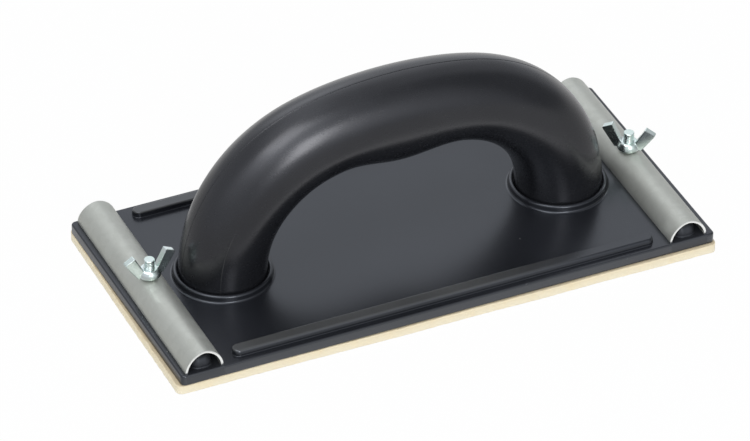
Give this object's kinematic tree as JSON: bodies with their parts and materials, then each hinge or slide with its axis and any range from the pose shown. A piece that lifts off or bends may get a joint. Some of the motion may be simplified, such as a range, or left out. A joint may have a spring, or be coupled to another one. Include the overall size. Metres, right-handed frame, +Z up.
{
  "type": "drywall hand sander",
  "caption": "Hand sander: a hollow bow handle on a flat plate with a foam pad under it, and at each end a half round bar drawn down by a wing nut to hold the abrasive sheet.",
  "frame": {"origin": "middle of the foam pad's working face, which lies on the ground plane", "axes": "+X along the plate from the left clamp to the right clamp, +Y across it to the rear, +Z up to the handle"},
  "size_m": [0.2346, 0.1124, 0.0848],
  "materials": {
    "black_plastic": "satin moulded plastic",
    "galvanised_steel": "dull galvanised sheet",
    "zinc_steel": "bright zinc plating",
    "foam": "cut cream foam",
    "adhesive": "amber adhesive film"
  },
  "bodies": {
    "base": {"base_plate": "black_plastic", "handle_front_shell": "black_plastic", "handle_rear_shell": "black_plastic", "left_front_handle_screw": "zinc_steel", "left_rear_handle_screw": "zinc_steel", "right_front_handle_screw": "zinc_steel", "right_rear_handle_screw": "zinc_steel", "adhesive_sheet": "adhesive", "foam_pad": "foam", "left_clamp_bolt": "zinc_steel", "right_clamp_bolt": "zinc_steel"},
    "left_clamp": {"left_clamp_bar": "galvanised_steel"},
    "left_nut": {"left_wing_nut": "zinc_steel"},
    "right_clamp": {"right_clamp_bar": "galvanised_steel"},
    "right_nut": {"right_wing_nut": "zinc_steel"}
  },
  "joints": [
    {"name": "left_clamp_lift", "type": "slide", "parent": "base", "child": "left_clamp", "axis": [0, 0, 1], "range_m": [0, 0.00473]},
    {"name": "left_nut_turn", "type": "hinge", "parent": "left_clamp", "child": "left_nut", "pos_m": [-0.105, 0, 0.01705], "axis": [0, 0, 1], "range_deg": [0, 2430]},
    {"name": "right_clamp_lift", "type": "slide", "parent": "base", "child": "right_clamp", "axis": [0, 0, 1], "range_m": [0, 0.00473]},
    {"name": "right_nut_turn", "type": "hinge", "parent": "right_clamp", "child": "right_nut", "pos_m": [0.105, 0, 0.01705], "axis": [0, 0, 1], "range_deg": [0, 2430]}
  ],
  "couplings": [
    {"joint": "left_nut_turn", "follows": "left_clamp_lift", "rad_per_m": 8976},
    {"joint": "right_nut_turn", "follows": "right_clamp_lift", "rad_per_m": 8976}
  ]
}
